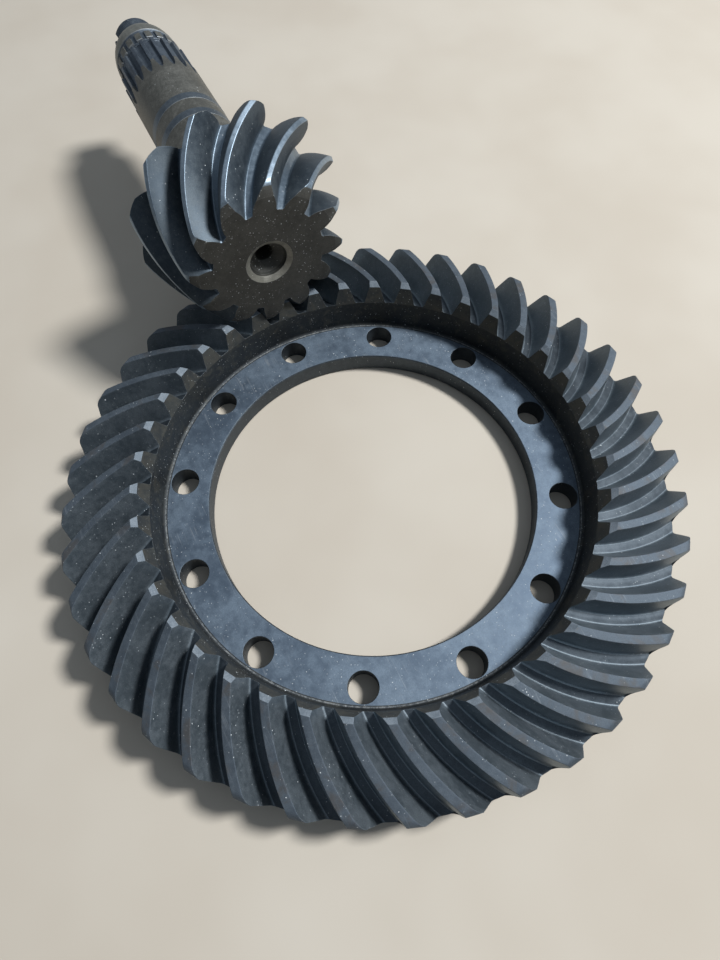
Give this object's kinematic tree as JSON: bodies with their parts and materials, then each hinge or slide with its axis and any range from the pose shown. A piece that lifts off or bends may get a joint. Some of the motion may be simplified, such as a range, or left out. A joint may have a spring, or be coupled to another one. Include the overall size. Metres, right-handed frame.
{
  "type": "spiral bevel gear pair",
  "caption": "Spiral bevel gear pair: a bolt-on crown wheel with coarse curved teeth and a meshing pinion forged in one piece with its splined shaft.",
  "frame": {"origin": "centre of the crown wheel's flat back face", "axes": "+Z along the crown wheel's axis, towards its teeth; +X along the pinion's axis, from its teeth towards the shaft end"},
  "size_m": [0.5494, 0.3511, 0.146],
  "materials": {
    "phosphated_steel": "black phosphate, satin",
    "pinion_steel": "phosphated head and oiled olive-grey shaft, satin",
    "carrier_grey": "matte"
  },
  "bodies": {
    "carrier": {"axis_carrier": "carrier_grey"},
    "wheel": {"crown_wheel": "phosphated_steel"},
    "pinion": {"pinion_shaft": "pinion_steel"}
  },
  "joints": [
    {"name": "wheel_spin", "type": "hinge", "parent": "carrier", "child": "wheel", "pos_m": [0, 0, 0.007], "axis": [0, 0, 1], "continuous": true},
    {"name": "pinion_spin", "type": "hinge", "parent": "carrier", "child": "pinion", "pos_m": [0.2, 0, 0.082], "axis": [1, 0, 0], "continuous": true}
  ],
  "couplings": [
    {"joint": "pinion_spin", "follows": "wheel_spin", "ratio": 3.4167}
  ]
}
